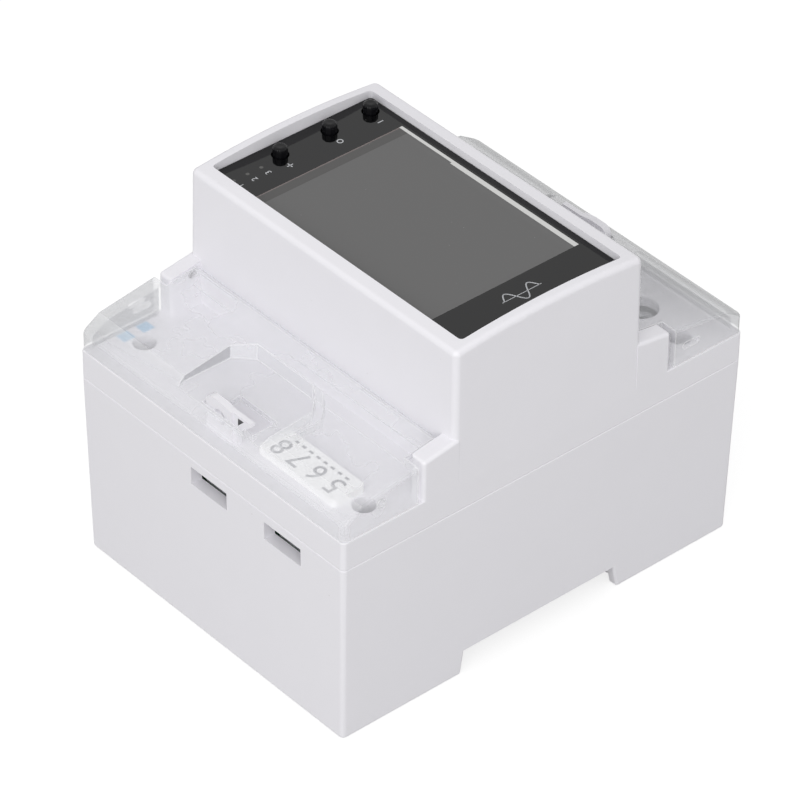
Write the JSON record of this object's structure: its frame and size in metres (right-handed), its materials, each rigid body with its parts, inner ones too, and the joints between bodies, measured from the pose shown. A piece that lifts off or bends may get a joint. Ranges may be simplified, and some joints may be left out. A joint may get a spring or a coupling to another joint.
{
  "type": "rail-mounted energy meter",
  "caption": "Rail-mounted energy meter: drafted white housing, raised display tower with keys, hinged frosted terminal covers, clamp terminals and a sliding rail clip.",
  "frame": {"origin": "middle of the back, where the bounding box's bottom centre lies", "axes": "+X along the rail, +Y up the wall so that the display reads upright, +Z out of the wall through the display"},
  "size_m": [0.072, 0.0936, 0.0739],
  "materials": {
    "housing_plastic": "fine moulded texture",
    "frosted_cover": "frosted translucent",
    "panel_acrylic": "polished",
    "display_glass": "polished",
    "light_tray": "smooth",
    "button_plastic": "polished",
    "switch_plastic": "smooth",
    "clear_plastic": "clear",
    "circuit_board": "lacquered",
    "zinc_steel": "zinc plated",
    "terminal_plastic": "smooth",
    "copper_bar": "bare metal",
    "tinned_metal": "tinned",
    "ferrite": "sintered",
    "winding_tape": "taped",
    "capacitor_sleeve": "shrunk sleeve",
    "varistor_coat": "dipped",
    "component_plastic": "moulded",
    "ribbon_film": "film",
    "label_plastic": "printed",
    "clip_plastic": "smooth",
    "spring_steel": "drawn wire"
  },
  "bodies": {
    "meter": {"base_housing": "housing_plastic", "upper_housing": "housing_plastic", "display_panel": "panel_acrylic", "display_glass": "display_glass", "display_light_tray": "light_tray", "tact_switches": "switch_plastic", "light_pipe": "clear_plastic", "indicator_lamps": "clear_plastic", "display_board": "circuit_board", "main_board": "circuit_board", "signal_board": "circuit_board", "display_board_screws": "zinc_steel", "main_board_screws": "zinc_steel", "signal_board_screws": "zinc_steel", "housing_screws": "zinc_steel", "mains_terminal_block": "terminal_plastic", "current_shunt": "copper_bar", "neutral_bar": "copper_bar", "signal_socket_1": "terminal_plastic", "signal_socket_2": "terminal_plastic", "signal_pins": "tinned_metal", "transformer_core": "ferrite", "transformer_winding": "winding_tape", "supply_capacitors": "capacitor_sleeve", "surge_varistor": "varistor_coat", "input_fuse": "component_plastic", "clock_battery": "tinned_metal", "board_chips": "component_plastic", "radio_board": "circuit_board", "radio_can": "tinned_metal", "board_header": "component_plastic", "ribbon_sockets": "switch_plastic", "display_ribbon": "ribbon_film", "terminal_label": "label_plastic", "clip_spring": "spring_steel"},
    "cover_upper": {"terminal_cover_upper": "frosted_cover"},
    "cover_lower": {"terminal_cover_lower": "frosted_cover"},
    "plus_key": {"button_plus": "button_plastic", "switch_plunger_plus": "switch_plastic"},
    "menu_key": {"button_menu": "button_plastic", "switch_plunger_menu": "switch_plastic"},
    "minus_key": {"button_minus": "button_plastic", "switch_plunger_minus": "switch_plastic"},
    "clip": {"rail_clip": "clip_plastic"},
    "cage_1": {"clamp_cage_1": "zinc_steel"},
    "screw_1": {"clamp_screw_1": "zinc_steel"},
    "cage_2": {"clamp_cage_2": "zinc_steel"},
    "screw_2": {"clamp_screw_2": "zinc_steel"},
    "cage_3": {"clamp_cage_3": "zinc_steel"},
    "screw_3": {"clamp_screw_3": "zinc_steel"},
    "cage_4": {"clamp_cage_4": "zinc_steel"},
    "screw_4": {"clamp_screw_4": "zinc_steel"}
  },
  "joints": [
    {"name": "cover_upper_hinge", "type": "hinge", "parent": "meter", "child": "cover_upper", "pos_m": [0, 0.0238, 0.0522], "axis": [1, 0, 0], "range_deg": [0, 90]},
    {"name": "cover_lower_hinge", "type": "hinge", "parent": "meter", "child": "cover_lower", "pos_m": [0, -0.0238, 0.0522], "axis": [-1, 0, 0], "range_deg": [0, 90]},
    {"name": "plus_press", "type": "slide", "parent": "meter", "child": "plus_key", "axis": [0, 0, -1], "range_m": [0, 0.0005], "stiffness_N_per_m": 2400, "springref_m": -0.0001},
    {"name": "menu_press", "type": "slide", "parent": "meter", "child": "menu_key", "axis": [0, 0, -1], "range_m": [0, 0.0005], "stiffness_N_per_m": 2400, "springref_m": -0.0001},
    {"name": "minus_press", "type": "slide", "parent": "meter", "child": "minus_key", "axis": [0, 0, -1], "range_m": [0, 0.0005], "stiffness_N_per_m": 2400, "springref_m": -0.0001},
    {"name": "clip_slide", "type": "slide", "parent": "meter", "child": "clip", "axis": [0, -1, 0], "range_m": [0, 0.0035], "stiffness_N_per_m": 1200, "springref_m": -0.002, "deforming": ["clip_spring"]},
    {"name": "clamp_turn_1", "type": "hinge", "parent": "meter", "child": "screw_1", "pos_m": [-0.0192, -0.0377, 0.041], "axis": [0, 0, -1], "range_deg": [0, 3600]},
    {"name": "cage_rise_1", "type": "slide", "parent": "meter", "child": "cage_1", "axis": [0, 0, 1], "range_m": [0, 0.007]},
    {"name": "clamp_turn_2", "type": "hinge", "parent": "meter", "child": "screw_2", "pos_m": [-0.0064, -0.0377, 0.041], "axis": [0, 0, -1], "range_deg": [0, 3600]},
    {"name": "cage_rise_2", "type": "slide", "parent": "meter", "child": "cage_2", "axis": [0, 0, 1], "range_m": [0, 0.007]},
    {"name": "clamp_turn_3", "type": "hinge", "parent": "meter", "child": "screw_3", "pos_m": [0.0064, -0.0377, 0.041], "axis": [0, 0, -1], "range_deg": [0, 3600]},
    {"name": "cage_rise_3", "type": "slide", "parent": "meter", "child": "cage_3", "axis": [0, 0, 1], "range_m": [0, 0.007]},
    {"name": "clamp_turn_4", "type": "hinge", "parent": "meter", "child": "screw_4", "pos_m": [0.0192, -0.0377, 0.041], "axis": [0, 0, -1], "range_deg": [0, 3600]},
    {"name": "cage_rise_4", "type": "slide", "parent": "meter", "child": "cage_4", "axis": [0, 0, 1], "range_m": [0, 0.007]}
  ],
  "couplings": [
    {"joint": "clamp_turn_1", "follows": "cage_rise_1", "rad_per_m": 8976},
    {"joint": "clamp_turn_2", "follows": "cage_rise_2", "rad_per_m": 8976},
    {"joint": "clamp_turn_3", "follows": "cage_rise_3", "rad_per_m": 8976},
    {"joint": "clamp_turn_4", "follows": "cage_rise_4", "rad_per_m": 8976}
  ]
}
